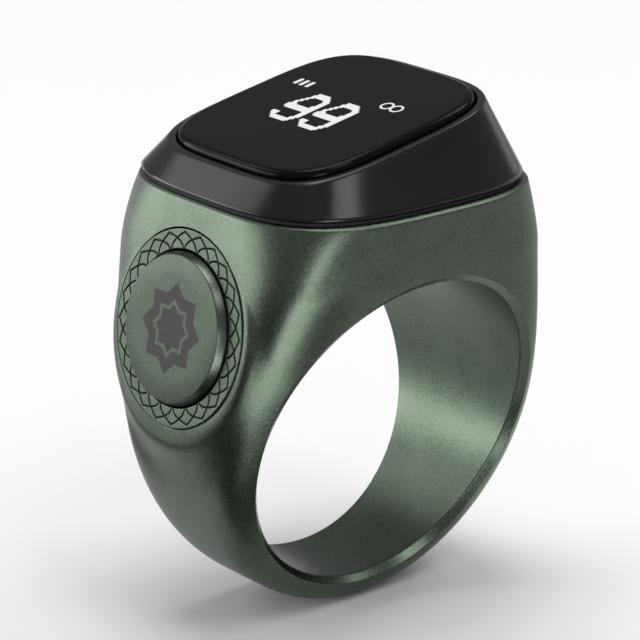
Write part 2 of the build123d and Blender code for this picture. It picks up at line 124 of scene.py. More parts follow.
def make_piece(name, grids, body, replaces, marks=None):
    """Joins grids into one smooth closed mesh on a body. A grid is a pair: points in mm, by row and column,
    and whether its columns close to a ring. Marks are values per point, kept by name."""
    sizes = [points.shape[0] * points.shape[1] for points, ring in grids]
    starts = np.cumsum([0] + sizes[:-1])
    verts = np.concatenate([points.reshape(-1, 3) for points, ring in grids]) * MM
    faces = np.concatenate([grid_faces(*points.shape[:2], ring) + start
                            for (points, ring), start in zip(grids, starts)])
    mesh = bpy.data.meshes.new(name)
    mesh.from_pydata(verts.tolist(), [], faces.tolist())
    for key, values in (marks or {}).items():
        attribute = mesh.attributes.new(key, "FLOAT", "POINT")
        attribute.data.foreach_set("value", np.ravel(values).astype(np.float32))
    sewn = bmesh.new()
    sewn.from_mesh(mesh)
    bmesh.ops.remove_doubles(sewn, verts=sewn.verts, dist=MERGE_MM * MM)
    bmesh.ops.dissolve_degenerate(sewn, edges=sewn.edges, dist=MERGE_MM * MM / 10)
    bmesh.ops.recalc_face_normals(sewn, faces=sewn.faces)
    open_edges = sum(edge.is_boundary for edge in sewn.edges)
    sewn.to_mesh(mesh)
    sewn.free()
    mesh.shade_smooth()
    piece = add_object(name, mesh)
    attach(piece, body)
    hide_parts(replaces)
    print(name, "faces", len(mesh.polygons), "open edges", open_edges)
    return piece


# %% [markdown]
# ## The body's outline
# The ring is one casting. Cut level through the head it is a rounded square, and cut across the shank it is
# a D. Both are superellipses, |x/a|^n + |y/b|^n = 1: with n = 2 that is an ellipse, and a larger n squares
# it up. Taking the point at a polar angle keeps the points evenly spread round the corners. The ring widens
# from the foot of the shank to the head, and a parabola through three widths draws that at the bore's rim.

# %% Superellipse and the ring's widths
RIM_BEVEL = 0.42
SHANK_WIDTH = 7.1
MID_WIDTH = 12.2
HEAD_FLARE = 0.75
RIM_R = BORE_R + RIM_BEVEL
CROWN_WIDTH = 2 * (HEAD_HALF - HEAD_FLARE)
RIM_STRAIGHT = (CROWN_WIDTH - SHANK_WIDTH) / 4
RIM_CURVE = (CROWN_WIDTH + SHANK_WIDTH) / 4 - MID_WIDTH / 2


def superellipse(angle, power):
    """The direction (cos, sin) of an angle, lengthened until |x|^power + |y|^power = 1."""
    c, s = np.cos(angle), np.sin(angle)
    scale = (np.abs(c) ** power + np.abs(s) ** power) ** (-1 / power)
    return c * scale, s * scale


def across_at(share, power):
    """How much of its half width a superellipse has at this share of its reach."""
    return (1 - np.clip(share, 0, 1) ** power) ** (1 / power)


def rim_half(rise):
    """Half the ring's width at the bore's rim: a parabola in the rise, from -1 below to 1 above."""
    return MID_WIDTH / 2 + RIM_STRAIGHT * rise + RIM_CURVE * rise * rise


def rim_reach(z):
    """How far the bore's rim stands from the middle at a height, and 0 above the bore."""
    return np.sqrt(np.maximum(RIM_R ** 2 - z ** 2, 0))


print("width at foot, middle and crown", 2 * rim_half(np.array([-1, 0, 1])))

# %% [markdown]
# ## Reach and width of the head
# Going up the head, the +X flank leans in and the corners round off at the same pace. The -X flank follows
# the button's plane up to the lip, but it never leaves the shank's circle below, so it is a soft minimum of
# the two. Its sections are a little squarer half way up, to lie flat round the button. The width follows
# the rim beside the bore, and above the bore it runs on to the seat of the bezel, easing out of the rim's
# slope so that no crease shows.

# %% Lean and squareness
SQUARENESS, MID_SQUARENESS, FLANK_SQUARING = 3.2, 5.6, 1.0
LIP, HEAD_LEAN = 0.2, 1.55
LIP_Z = HEAD_Z - LIP


def lean(z):
    """How far the head has leaned in at a height: 0 at the middle of the bore and 1 at the lip."""
    return (z / LIP_Z) ** HEAD_LEAN


def head_power(z):
    """The squareness of a section, which falls toward the lip as the head leans in."""
    return MID_SQUARENESS + (SQUARENESS - MID_SQUARENESS) * lean(z)


def left_power(z):
    """The same on the button's side, with a parabola added that is highest half way up."""
    share = z / LIP_Z
    return head_power(z) + FLANK_SQUARING * 4 * share * (1 - share)


heights = np.array([0, BORE_R / 2, BORE_R, LIP_Z])
print("squareness on the left", left_power(heights), "and right", head_power(heights))

# %% Reach and width
HEAD_INSET = SHANK_R - HEAD_HALF
FLANK_SLOPE = BUTTON_OUT[2] / -BUTTON_OUT[0]
SHANK_BLEND = 0.45
SWELL_EASE = 0.3


def soft_min(a, b, blend):
    """The lesser of two values, rounded over where they differ by less than blend."""
    near = np.clip(0.5 + 0.5 * (b - a) / blend, 0, 1)
    return b + (a - b) * near - blend * near * (1 - near)


def right_reach(z):
    """How far the +X flank stands out: the shank's radius, less the lean."""
    return SHANK_R - HEAD_INSET * lean(z)


def left_reach(z):
    """How far the -X flank stands out: to the button's plane, kept inside the shank's circle below."""
    plane = -BUTTON_AT[0] - (z - BUTTON_AT[2]) * FLANK_SLOPE
    return soft_min(plane, SHANK_R, SHANK_BLEND)


def half_width(z, reach, power):
    """Half the body's width. Up to the bore's top it is what carries the section through the rim. Above that
    it is a straight run to the seat, plus a term t exp(-t/ease) that takes up the rim's slope and fades."""
    beside = rim_half(np.minimum(z, RIM_R) / RIM_R) / across_at(rim_reach(z) / reach, power)
    rise = LIP_Z - RIM_R
    t = np.clip((z - RIM_R) / rise, 0, 1)
    run = HEAD_HALF - rim_half(1)
    slope = (RIM_STRAIGHT + 2 * RIM_CURVE) * rise / RIM_R
    swell = rim_half(1) + run * t + (slope - run) * t * np.exp(-t / SWELL_EASE)
    return np.where(z < RIM_R, beside, swell)


def in_head(points):
    """Below 1 inside the head's rounded-square sections, and above 1 outside."""
    x, y, z = np.moveaxis(points, -1, 0)
    level = np.clip(z, 0, LIP_Z)
    reach = np.where(x > 0, right_reach(level), left_reach(level))
    power = np.where(x > 0, head_power(level), left_power(level))
    return np.abs(x / reach) ** power + np.abs(y / half_width(level, reach, power)) ** power


print("reach on the left", left_reach(heights), "and right", right_reach(heights))

# %% [markdown]
# ## The boss
# The button sits on a round boss that grows out of the flank: flat on top, with an eased edge that is wider
# and softer at the chin below. It could be a cone joined with a boolean, but the blend is what catches the
# light, so the boss is a push along the button's axis instead. Each point takes the greater of its own
# height over the button's plane and the boss's height at that distance from the axis, with the change
# rounded over: a soft minimum of the negatives.

# %% Coordinates on the button's plane
def to_button(points):
    """Coordinates on the button's plane: sideways, up the flank, and out along the axis."""
    offset = points - BUTTON_AT
    return np.stack([offset @ BUTTON_SIDE, offset @ BUTTON_UP, offset @ BUTTON_OUT], -1)


def from_button(side, up, out):
    """Points from such coordinates: the button's middle plus each of them along its own direction."""
    return (BUTTON_AT + np.multiply.outer(side, BUTTON_SIDE) + np.multiply.outer(up, BUTTON_UP)
            + np.multiply.outer(out, BUTTON_OUT))


print("the bore's middle, on that plane", to_button(np.zeros(3)))

# %% The boss as a push outwards
BOSS_R, BOSS_SLOPE, BOSS_EASE = 6.4, 1.9, 0.3
CHIN_GROW, CHIN_SLOPE, CHIN_EASE = 0.6, 1.0, 0.3
CHIN_FOCUS = 5
BOSS_BLEND, BLEND_DEPTH, LEAST_BLEND = 0.9, 0.6, 0.01
PUSH_DEPTH, PUSH_FADE = 5, 2


def smooth_step(value):
    """0 below 0, 1 above 1, and 3v^2 - 2v^3 between."""
    value = np.clip(value, 0, 1)
    return value * value * (3 - 2 * value)


def with_boss(points):
    """Raises points to the boss: level with the button's plane, then a cone with its turn eased over, wider
    and gentler at the chin below. The blend at the cone's foot grows with the depth of the head below that
    plane, so a flush flank stays flat. Points far behind the plane stay where they are."""
    side, up, out = np.moveaxis(to_button(points), -1, 0)
    radius = np.hypot(side, up)
    chin = smooth_step(-up / radius)
    past = radius - BOSS_R - CHIN_GROW * chin
    fall = BOSS_SLOPE + (CHIN_SLOPE - BOSS_SLOPE) * chin ** CHIN_FOCUS
    height = -fall * (past + np.hypot(past, BOSS_EASE + CHIN_EASE * chin)) / 2
    blend = BOSS_BLEND * smooth_step(-out / BLEND_DEPTH) + LEAST_BLEND
    raised = -soft_min(-out, -height, blend)
    near = smooth_step((out + PUSH_DEPTH) / PUSH_FADE)
    return from_button(side, up, out + (raised - out) * near)


print("boss radius", BOSS_R, "and at the chin", BOSS_R + CHIN_GROW)

# %% [markdown]
# ## The body's skin
# The skin is sewn from five grids: the shank, swept round the lower half; the +X side of the head; the two
# parts of the -X side beside the bore; and the flank, a grid of rings that starts at the round seat of the
# button's trim and spreads to a square. Rings round the seat give it a true circle, which rows and columns
# could not. The flank's points are dropped on the head along the button's axis by halving an interval.

# %% Rows and columns
RIM_ROWS = 56
SEAT_ROWS = 30
ACROSS = 110
BESIDE = 34
CREASE = 0.02
FLANK_MARGIN = np.radians(6)
FLANK_WIDEST = np.radians(54)


def angle_at(share, power):
    """The polar angle at which a superellipse has come in to this share of its reach."""
    return np.arctan2(across_at(share, power), np.clip(share, 0, 1))


def creased(count):
    """Even steps from 0 to 1 with one more row close behind the start, to keep the edge there crisp."""
    return np.concatenate([[0, CREASE], np.linspace(CREASE, 1, count)[1:]])


rim_z = RIM_R * np.sin(np.linspace(0, np.pi / 2, RIM_ROWS))
row_z = np.concatenate([rim_z, RIM_R + (LIP_Z - RIM_R) * np.linspace(0, 1, SEAT_ROWS)[1:]])[:, None]
left_rim = angle_at(rim_reach(row_z) / left_reach(row_z), left_power(row_z))
right_rim = angle_at(rim_reach(row_z) / right_reach(row_z), head_power(row_z))
flank_edge = soft_min(left_rim - FLANK_MARGIN, FLANK_WIDEST + 0 * left_rim, FLANK_MARGIN)
beside_angles = left_rim + (flank_edge - left_rim) * creased(BESIDE)
across = np.linspace(1, -1, ACROSS)
shank_angles = np.concatenate([beside_angles[0], flank_edge[0] * across[1:-1], -beside_angles[0][::-1]])
print("rows", len(row_z), "columns", len(shank_angles))

# %% The shank and the sides of the head
SHANK_ROWS = 150
BASE_SQUARENESS = 6.4


def head_points(angle, z, side):
    """Points of the head's sections: side 1 is the +X half and -1 the -X half; angles run from that flank."""
    reach, power = (right_reach(z), head_power(z)) if side > 0 else (left_reach(z), left_power(z))
    x, y = superellipse(angle, power)
    return np.stack([side * reach * x, -half_width(z, reach, power) * y, z + 0 * x], -1)


turn = np.linspace(0, -np.pi, SHANK_ROWS)[:, None]
drop = -np.sin(turn)
shank_power = MID_SQUARENESS + (BASE_SQUARENESS - MID_SQUARENESS) * drop
shank_reach = SHANK_R - (SHANK_R - BASE_R) * drop * (3 - drop) / 2
shank_half = rim_half(-drop) / across_at(RIM_R / shank_reach, shank_power)
shank_rim = angle_at(RIM_R / shank_reach, shank_power)
sx, sy = superellipse(shank_rim * shank_angles / shank_angles[0], shank_power)
shank = np.stack([shank_reach * sx * np.cos(turn), -shank_half * sy, -shank_reach * sx * drop], -1)
right_side = head_points(right_rim * shank_angles / shank_angles[0], row_z, 1)
left_front = head_points(beside_angles, row_z, -1)
left_back = left_front * [1, -1, 1]
bottom_edge = shank[-1, BESIDE:BESIDE + ACROSS]
top_edge = head_points(flank_edge[-1] * across, row_z[-1], -1)
front_edge, back_edge = left_front[:, -1], left_back[:, -1]
border = np.concatenate([bottom_edge, back_edge[1:], top_edge[::-1][1:], front_edge[::-1][1:-1]])
print("shank", shank.shape, "right side", right_side.shape, "beside the bore", left_front.shape)

# %% The flank's rings
FLANK_RINGS = 44
RING_SPREAD = 1.3
SEAT_GAP = 0.1
SEAT_R = TRIM_R + SEAT_GAP
DEEPEST, PROUDEST = -9.0, 2.0
HALVINGS = 40
border_local = to_button(border)
border_angle = np.arctan2(border_local[:, 1], border_local[:, 0])
seat_circle = SEAT_R * np.stack([np.cos(border_angle), np.sin(border_angle)], -1)
spread = creased(FLANK_RINGS)[:, None, None] ** RING_SPREAD
flank_ab = seat_circle + (border_local[:, :2] - seat_circle) * spread
low = np.full(flank_ab.shape[:2], DEEPEST)
high = np.full(flank_ab.shape[:2], PROUDEST)
for halving in range(HALVINGS):
    middle = (low + high) / 2
    inside = in_head(from_button(flank_ab[..., 0], flank_ab[..., 1], middle)) < 1
    low, high = np.where(inside, middle, low), np.where(inside, high, middle)
flank = from_button(flank_ab[..., 0], flank_ab[..., 1], low)
flank[-1] = border
print("flank", flank.shape, "bottom matches", np.abs(bottom_edge[0] - left_front[0, -1]).max())

# %% [markdown]
# ## Rim, bore, lip and hollows
# Each edge loop of the skin is carried on: the rim runs over a narrow bevel into the bore, the top over a
# small bevel onto the bezel's seat and down into the head, and the round seat down to where the button's
# trim lies. A real casting is closed, and so is this mesh, because an exported part with open edges has no
# inside.

# %% Rim and bore
RIM_BEVEL_Y = 0.44
BEVEL_STEPS = np.array([0, 0.08, 0.92, 1])[:, None, None]
BORE_COLUMNS = np.array([1, 0.985, 0.6, 0.2, -0.2, -0.6, -0.985, -1])[:, None, None]
rim_right, rim_left = right_side[:RIM_ROWS, 0], with_boss(left_front)[:RIM_ROWS, 0]
rim = np.concatenate([rim_right, rim_left[::-1][1:], with_boss(shank)[::-1, 0][1:-1]])
rim_angle = np.arctan2(rim[:, 2], rim[:, 0])
bore_edge = np.stack([BORE_R * np.cos(rim_angle), -(rim_half(np.sin(rim_angle)) - RIM_BEVEL_Y),
                      BORE_R * np.sin(rim_angle)], -1)
bevel = rim + (bore_edge - rim) * BEVEL_STEPS
bevel_back = bevel * [1, -1, 1]
bore = bore_edge * np.where(np.arange(3) == 1, BORE_COLUMNS, 1)
print("rim points", len(rim))

# %% Lip and the space in the head
WALL_T = 2.0
LIP_WIDTH = 0.26
CAVITY_HALF = HEAD_HALF - WALL_T
lip_in = np.array([0, 0.04, 0.2, 0.85, 0.97, 1]) * LIP_WIDTH
lip_up = np.array([0, 0.15, 0.4, 0.96, 1, 1]) * LIP
outline = with_boss(np.concatenate([left_front[-1], top_edge[1:-1], left_back[-1][::-1]]))
outline = np.concatenate([outline, right_side[-1, ::-1][1:-1]])
ring_sizes = np.concatenate([1 - lip_in / HEAD_HALF, [CAVITY_HALF / HEAD_HALF] * 2, [0]])
ring_levels = np.concatenate([LIP_Z + lip_up, [HEAD_Z, HEAD_FLOOR_Z, HEAD_FLOOR_Z]])
lip = (outline * np.array([1, 1, 0]) * ring_sizes[:, None, None]
       + np.array([0, 0, 1]) * ring_levels[:, None, None])
print("lip and cavity rings", lip.shape)

# %% The seat under the button, and the finished skin
POCKET_R, POCKET_DEPTH = 5.12, 1.5
SEAT_BREAK, SEAT_SINK = 0.01, 0.03
seat_edge = to_button(with_boss(flank[:1]))[0]
well_r = np.array([SEAT_R, SEAT_R - SEAT_BREAK, SEAT_R - SEAT_BREAK, POCKET_R, POCKET_R, 0])[:, None] / SEAT_R
well_depth = np.array([0, -SEAT_SINK, -TRIM_T, -TRIM_T, -POCKET_DEPTH, -POCKET_DEPTH])[:, None]
well_out = np.where(well_depth == 0, seat_edge[:, 2], well_depth)
well = from_button(seat_edge[:, 0] * well_r, seat_edge[:, 1] * well_r, well_out)
open_grids = [with_boss(shank), right_side, with_boss(left_front), with_boss(left_back)]
ring_grids = [with_boss(flank), bevel, bevel_back, bore, lip, well]
skin_grids = [(grid, False) for grid in open_grids] + [(grid, True) for grid in ring_grids]
ring_skin = make_piece("ring_skin", skin_grids, "ring", "ring_body")

# %% [markdown]
# ## The bezel
# The black bezel is a wedge: its foot is level on the head, and its top is tilted toward the wearer. It
# could be lofted by hand, but every ring of it is a superellipse, so it is enough to list the rings: half
# sizes, squareness and height, on the level foot or on the tilted display plane. Points at the same polar
# angle are joined, and the list returns to its start, which closes the shell inside as well.

# %% The tilted display plane
DISPLAY_TILT = np.radians(11.1)
DISPLAY_SHIFT, DISPLAY_RISE = -0.43, 3.46
DISPLAY_AT = np.array([DISPLAY_SHIFT, 0, HEAD_Z + DISPLAY_RISE])
DISPLAY_X = np.array([np.cos(DISPLAY_TILT), 0, np.sin(DISPLAY_TILT)])
DISPLAY_OUT = np.array([-np.sin(DISPLAY_TILT), 0, np.cos(DISPLAY_TILT)])
AROUND = 320


def full_turn(count):
    """This many even angles round one turn."""
    return np.linspace(0, 2 * np.pi, count, endpoint=False)


around = full_turn(AROUND)


def level_ring(half, z):
    """A level superellipse ring at a height."""
    x, y = superellipse(around, SQUARENESS)
    return np.stack([half * x, half * y, z + 0 * x], -1)


def on_display(x, y, out):
    """Points of the tilted plane: along its slope, across it, and out from it."""
    return (DISPLAY_AT + np.multiply.outer(x, DISPLAY_X) + np.multiply.outer(y, np.array([0, 1, 0]))
            + np.multiply.outer(out, DISPLAY_OUT))


def tilted_ring(half_x, half_y, out, power):
    """A superellipse ring that lies this far out from the tilted plane."""
    x, y = superellipse(around, power)
    return on_display(half_x * x, half_y * y, out + 0 * x)


print("display at", DISPLAY_AT, "facing", DISPLAY_OUT)

# %% The bezel's rings
GASKET_T, BAND_H, BAND_INSET, BASE_INSET, SKIRT_T = 0.2, 0.16, 0.14, 0.28, 0.55
TOP_INSET_X, TOP_INSET_Y, TOP_POWER = 2.08, 2.38, 3.75
TOP_RIM_X, TOP_RIM_Y, LENS_POWER = 0.54, 0.59, 3.9
TOP_X, TOP_Y = HEAD_HALF - TOP_INSET_X, HEAD_HALF - TOP_INSET_Y
LENS_X, LENS_Y = TOP_X - TOP_RIM_X, TOP_Y - TOP_RIM_Y
foot_z = HEAD_Z + GASKET_T
base_half = HEAD_HALF - BASE_INSET
foot = level_ring(base_half - BAND_INSET, foot_z)
waist = level_ring(base_half, foot_z + BAND_H)
crown = tilted_ring(TOP_X, TOP_Y, 0, TOP_POWER)
inner_foot = level_ring(CAVITY_HALF - SKIRT_T, foot_z)


def between(a, b, share):
    """Points this share of the way from one ring to the next."""
    return a + (b - a) * share


FOOT_EDGE, BAND_EDGE = 0.04, 0.12
WALL_ROWS, WALL_START, WALL_RUN = 16, 0.02, 0.95
CROWN_LOW, CROWN_HIGH = 0.985, 0.996
wall_shares = np.linspace(0, 1, WALL_ROWS)[1:-1] * WALL_RUN + WALL_START
bezel_rows = [inner_foot, between(inner_foot, foot, 1 - FOOT_EDGE), foot, between(foot, waist, BAND_EDGE),
              between(foot, waist, 1 - BAND_EDGE), waist]
bezel_rows += [between(waist, crown, share) for share in wall_shares]
print("wall rows", len(wall_shares), "lens half sizes", LENS_X, LENS_Y)

# %% The bezel's rim and the hole for the lens
EDGE_BREAK, HOLE_BREAK = 0.05, 0.02
LENS_GAP, LENS_RECESS, LEDGE, LEDGE_T = 0.12, 0.85, 0.7, 0.4
rim_outer = tilted_ring(TOP_X - EDGE_BREAK, TOP_Y - EDGE_BREAK, 0, TOP_POWER)
crown_roll = between(between(waist, crown, CROWN_HIGH), rim_outer, 0.5)
bezel_rows += [between(waist, crown, CROWN_LOW), crown_roll, rim_outer]
hole_steps = [(LENS_GAP + 2 * EDGE_BREAK, 0), (LENS_GAP + EDGE_BREAK, 0),
              (LENS_GAP + HOLE_BREAK, -HOLE_BREAK), (LENS_GAP, -EDGE_BREAK), (LENS_GAP, -LENS_RECESS),
              (-LEDGE, -LENS_RECESS), (-LEDGE, -LENS_RECESS - LEDGE_T)]
bezel_rows += [tilted_ring(LENS_X + grow, LENS_Y + grow, out, LENS_POWER) for grow, out in hole_steps]
bezel_rows += [inner_foot]
bezel_shell = make_piece("bezel_shell", [(np.array(bezel_rows), True)], "ring", "top_bezel")

# %% [markdown]
# ## The lens
# The lens stands proud of the bezel with a rolled edge. It is drawn as rings too, from the middle of its
# back, up its side, over a quarter circle and in to the middle of its face, where the last ring is a point.

# %% The lens's rings
LENS_PROUD, LENS_EDGE, LENS_BACK, BACK_BREAK = 0.42, 0.4, -0.75, 0.02
FACE_INSETS = [LENS_EDGE + 0.1, 2, 4, LENS_Y]
ROLL_ROWS = 12
roll = np.linspace(0, np.pi / 2, ROLL_ROWS)
insets = np.concatenate([[LENS_Y, BACK_BREAK, 0, 0], LENS_EDGE * (1 - np.cos(roll)), FACE_INSETS])
side_top = LENS_PROUD - LENS_EDGE - 2 * BACK_BREAK
outs = np.concatenate([[LENS_BACK, LENS_BACK, LENS_BACK + BACK_BREAK, side_top],
                       LENS_PROUD - LENS_EDGE * (1 - np.sin(roll)), [LENS_PROUD] * len(FACE_INSETS)])
half_x = np.where(insets > 1, LENS_X * (1 - insets / LENS_Y), LENS_X - insets)
lens_rows = [tilted_ring(*row, LENS_POWER) for row in zip(half_x, LENS_Y - insets, outs)]
lens_shell = make_piece("lens_shell", [(np.array(lens_rows), True)], "ring", "display_lens")

# %% [markdown]
# ## What the display shows
# The display lights a count in square dots, three level bars and a pair of linked rings. A lit dot is one
# quad of a grid laid on the lens, and only the quads of lit dots are kept. Which dots are lit follows from
# boxes with cut corners: a nine is a tall box, less the hole of its loop, less the notch that opens on its
# left. A hair of thickness makes the figures a closed piece.

# %% Lit cells and links
FIGURE_LIFT = 0.004
LINK_R, LINK_WIDTH, LINK_POINTS = 0.46, 0.14, 40
lit_level = LENS_PROUD + FIGURE_LIFT


def lit_quads(rows, cols, top, left, step_x, step_y, keep):
    """The kept cells of a grid on the display. Rows go down its slope, columns toward -Y, as text runs."""
    corner_x = top - step_x * np.arange(rows + 1)[:, None] + np.zeros(cols + 1)
    corner_y = left - step_y * np.arange(cols + 1) + np.zeros((rows + 1, 1))
    points = on_display(corner_x, corner_y, lit_level + 0 * corner_x).reshape(-1, 3)
    return points, grid_faces(rows + 1, cols + 1, False)[np.ravel(keep)]


def link_quads(x, y):
    """A flat ring as two circles of points."""
    link_turn = full_turn(LINK_POINTS)
    radii = np.array([LINK_R, LINK_R - LINK_WIDTH])[:, None]
    link_x, link_y = x + radii * np.cos(link_turn), y + radii * np.sin(link_turn)
    points = on_display(link_x, link_y, lit_level + 0 * link_x)
    return points.reshape(-1, 3), grid_faces(2, LINK_POINTS, True)


print("the figures lie", lit_level, "mm over the bezel's rim")

# %% The nine
DOT = 0.15
FIGURE_ROWS, FIGURE_COLUMNS = 26, 16
STROKE, SIDE_STROKE = 0.6, 0.45
LOOP_HIGH, HOOK_HIGH = 2.45, 0.9
STEEP_CUT, EVEN_CUT, STEEPNESS = 0.83, 0.65, 2.3
dot_down = (np.arange(FIGURE_ROWS)[:, None] + 0.5) * DOT
dot_right = (np.arange(FIGURE_COLUMNS) + 0.5) * DOT
tall, wide = FIGURE_ROWS * DOT, FIGURE_COLUMNS * DOT


def cut_box(top, bottom, left, end, steep, even):
    """True inside a box with cut corners: steep at top left and bottom right, and 45 degrees elsewhere."""
    above, below, before, after = dot_down - top, bottom - dot_down, dot_right - left, end - dot_right
    inside = (np.minimum(above, below) > 0) & (np.minimum(before, after) > 0)
    inside = inside & (above / STEEPNESS + before > steep) & (below / STEEPNESS + after > steep / 2)
    return inside & (above + after > even) & (below + before > even)


hole = cut_box(STROKE, LOOP_HIGH - STROKE, SIDE_STROKE, wide - SIDE_STROKE, STEEP_CUT / 2, EVEN_CUT / 3)
notch = cut_box(LOOP_HIGH, tall - SIDE_STROKE, -wide, wide - SIDE_STROKE, STEEP_CUT / 2, 0)
hook = (dot_right < STROKE) & (dot_down > tall - HOOK_HIGH)
loop_corner = (dot_down < LOOP_HIGH) & (dot_right + LOOP_HIGH - dot_down < EVEN_CUT / 2)
nine = cut_box(0, tall, 0, wide, STEEP_CUT, EVEN_CUT) & ~hole & ~(notch & ~hook) & ~loop_corner
print("lit dots in a nine", nine.sum(), "of", nine.size)

# %% The lit figures
FIGURE_TOP, FIGURE_LEFT, FIGURE_PITCH = 1.5, 2.97, 2.7
BAR_TOP, BAR_LEFT, BAR_PITCH, BAR_SIZE = 2.5, 5.2, 0.55, (0.75, 0.28)
LINK_AT, LINK_PITCH = (2.42, -2.9), 0.85
whole = np.ones((1, 1), bool)
figures = [lit_quads(*nine.shape, FIGURE_TOP, FIGURE_LEFT - i * FIGURE_PITCH, DOT, DOT, nine)
           for i in range(2)]
figures += [lit_quads(1, 1, BAR_TOP, BAR_LEFT - i * BAR_PITCH, *BAR_SIZE, whole) for i in range(3)]
figures += [link_quads(LINK_AT[0], LINK_AT[1] - i * LINK_PITCH) for i in range(2)]
offsets = np.cumsum([0] + [len(points) for points, faces in figures[:-1]])
lit_mesh = bpy.data.meshes.new("lit_figures")
lit_points = np.concatenate([points for points, faces in figures]) * MM
lit_faces = np.concatenate([faces + offset for (points, faces), offset in zip(figures, offsets)])
lit_mesh.from_pydata(lit_points.tolist(), [], lit_faces.tolist())
dots = bmesh.new()
dots.from_mesh(lit_mesh)
bmesh.ops.delete(dots, geom=[vert for vert in dots.verts if not vert.link_faces], context="VERTS")
bmesh.ops.recalc_face_normals(dots, faces=dots.faces)
dots.to_mesh(lit_mesh)
dots.free()
lit_figures = add_object("lit_figures", lit_mesh)
hair = lit_figures.modifiers.new("hair of thickness", "SOLIDIFY")
hair.thickness = FIGURE_LIFT * MM
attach(lit_figures, "ring")
print("lit quads", len(lit_mesh.polygons))

# %% [markdown]
# ## The engraved trim ring
# Round the button lies a flat ring cut with a traditional lattice: twenty-four ogee arches, each
# overlapping its neighbours, so that their sides cross. In polar terms an arch's side is a curve: its angle
# from the arch's middle falls from almost a whole pitch at the foot to nothing at the tip. A point is on a
# line when its angle less that curve, or plus it, is a whole number of pitches. That one test draws the
# whole ring. The cut is real geometry, and an attribute carries it to the finish, which colours the lines
# near-black.

# %% The lattice as a formula
ARCHES = 24
HOLE_R = 4.67
TIP_SHARE, FOOT_SPREAD, OGEE = 0.86, 0.93, 1.3
LINE_HALF, LINE_SOFT = 0.028, 0.03
TRIM_WIDTH = TRIM_R - HOLE_R


def lattice(radius, angle):
    """1 on the engraved lines and 0 between them. With s from 0 at the foot to 1 at the tip, an arch's side
    lies spread (1 - s^2)^ogee pitches from its middle. Its slope turns a distance round into one across."""
    pitch = 2 * np.pi / ARCHES
    share = np.clip((radius - HOLE_R) / TRIM_WIDTH / TIP_SHARE, 0, 1)
    side = FOOT_SPREAD * (1 - share ** 2) ** OGEE
    slope = 2 * OGEE * FOOT_SPREAD * share * (1 - share ** 2) ** (OGEE - 1) / TRIM_WIDTH / TIP_SHARE
    turns = angle / pitch + 0.5
    off = np.minimum(np.abs((turns - side + 0.5) % 1 - 0.5), np.abs((turns + side + 0.5) % 1 - 0.5))
    distance = off * pitch * radius / np.hypot(1, slope * pitch * radius)
    beyond = np.maximum((radius - HOLE_R) / TRIM_WIDTH - TIP_SHARE, 0) * TRIM_WIDTH
    return smooth_step((LINE_HALF + LINE_SOFT - np.hypot(distance, beyond)) / LINE_SOFT)


print("an arch every", 360 / ARCHES, "degrees")

# %% The trim ring
CUT_DEPTH = 0.05
TRIM_BREAK, TRIM_SINK = 0.04, 0.01
FACE_ROWS, ARCH_COLUMNS = 46, 50
trim_turn = full_turn(ARCHES * ARCH_COLUMNS)
face_r = np.linspace(TRIM_R - TRIM_BREAK, HOLE_R + TRIM_BREAK, FACE_ROWS)
trim_r = np.concatenate([[TRIM_R, TRIM_R, TRIM_R - TRIM_SINK], face_r,
                         [HOLE_R + TRIM_SINK, HOLE_R, HOLE_R, TRIM_R]])
trim_out = np.concatenate([[-TRIM_T, -TRIM_BREAK, -TRIM_SINK], 0 * face_r,
                           [-TRIM_SINK, -TRIM_BREAK, -TRIM_T, -TRIM_T]])
on_face = np.concatenate([[0, 0, 0], 0 * face_r + 1, [0, 0, 0, 0]])
cut = lattice(trim_r[:, None], trim_turn - np.pi / 2) * on_face[:, None]
trim_side, trim_up = trim_r[:, None] * np.cos(trim_turn), trim_r[:, None] * np.sin(trim_turn)
trim = from_button(trim_side, trim_up, trim_out[:, None] - CUT_DEPTH * cut)
lattice_ring = make_piece("lattice_ring", [(trim, True)], "ring", "button_trim_ring",
                          {"cut": cut})
print("lattice lines cover", cut[on_face > 0].mean().round(3))

# %% [markdown]
# ## The count button's cap
# The cap is turned metal: a blasted face, a bright tapered side and a flange below that keeps it in. A
# turned part is a profile spun round an axis, so one row of the grid is one radius and height of the
# profile. Pairs of points a few hundredths apart break its edges.

# %% The cap
CAP_R, CAP_PROUD = 4.55, 0.55
TAPER_IN, TAPER_DOWN = 0.21, 0.48
FLANGE_R, FLANGE_TOP, FLANGE_BASE = 5.0, -0.55, -0.85
NUB_R, NUB_H = 0.6, 0.25
CAP_COLUMNS = 256
face_edge, taper_foot = CAP_R - TAPER_IN, CAP_PROUD - TAPER_DOWN
cap_profile = np.array([
    (0, CAP_PROUD), (1.5, CAP_PROUD), (3, CAP_PROUD), (face_edge - 0.05, CAP_PROUD),
    (face_edge, CAP_PROUD - 0.012), (face_edge + 0.022, CAP_PROUD - 0.05), (CAP_R - 0.008, taper_foot + 0.02),
    (CAP_R, taper_foot - 0.02), (CAP_R, FLANGE_TOP), (FLANGE_R, FLANGE_TOP), (FLANGE_R, FLANGE_BASE),
    (NUB_R, FLANGE_BASE), (NUB_R, FLANGE_BASE - NUB_H), (0, FLANGE_BASE - NUB_H)])
cap_turn = full_turn(CAP_COLUMNS)
cap_r, cap_out = cap_profile[:, :1], cap_profile[:, 1:]
cap = from_button(cap_r * np.cos(cap_turn), cap_r * np.sin(cap_turn), cap_out + 0 * cap_turn)
cap_shell = make_piece("cap_shell", [(cap, True)], "button", "count_button")

# %% [markdown]
# ## The charging port
# At the top of the bore a plastic block carries two gold contacts, and its face follows the bore so that
# nothing scratches the finger. Each is a post whose end lies on the bore's curve: rings from the middle of
# that end out to the side, and up to the floor of the head.

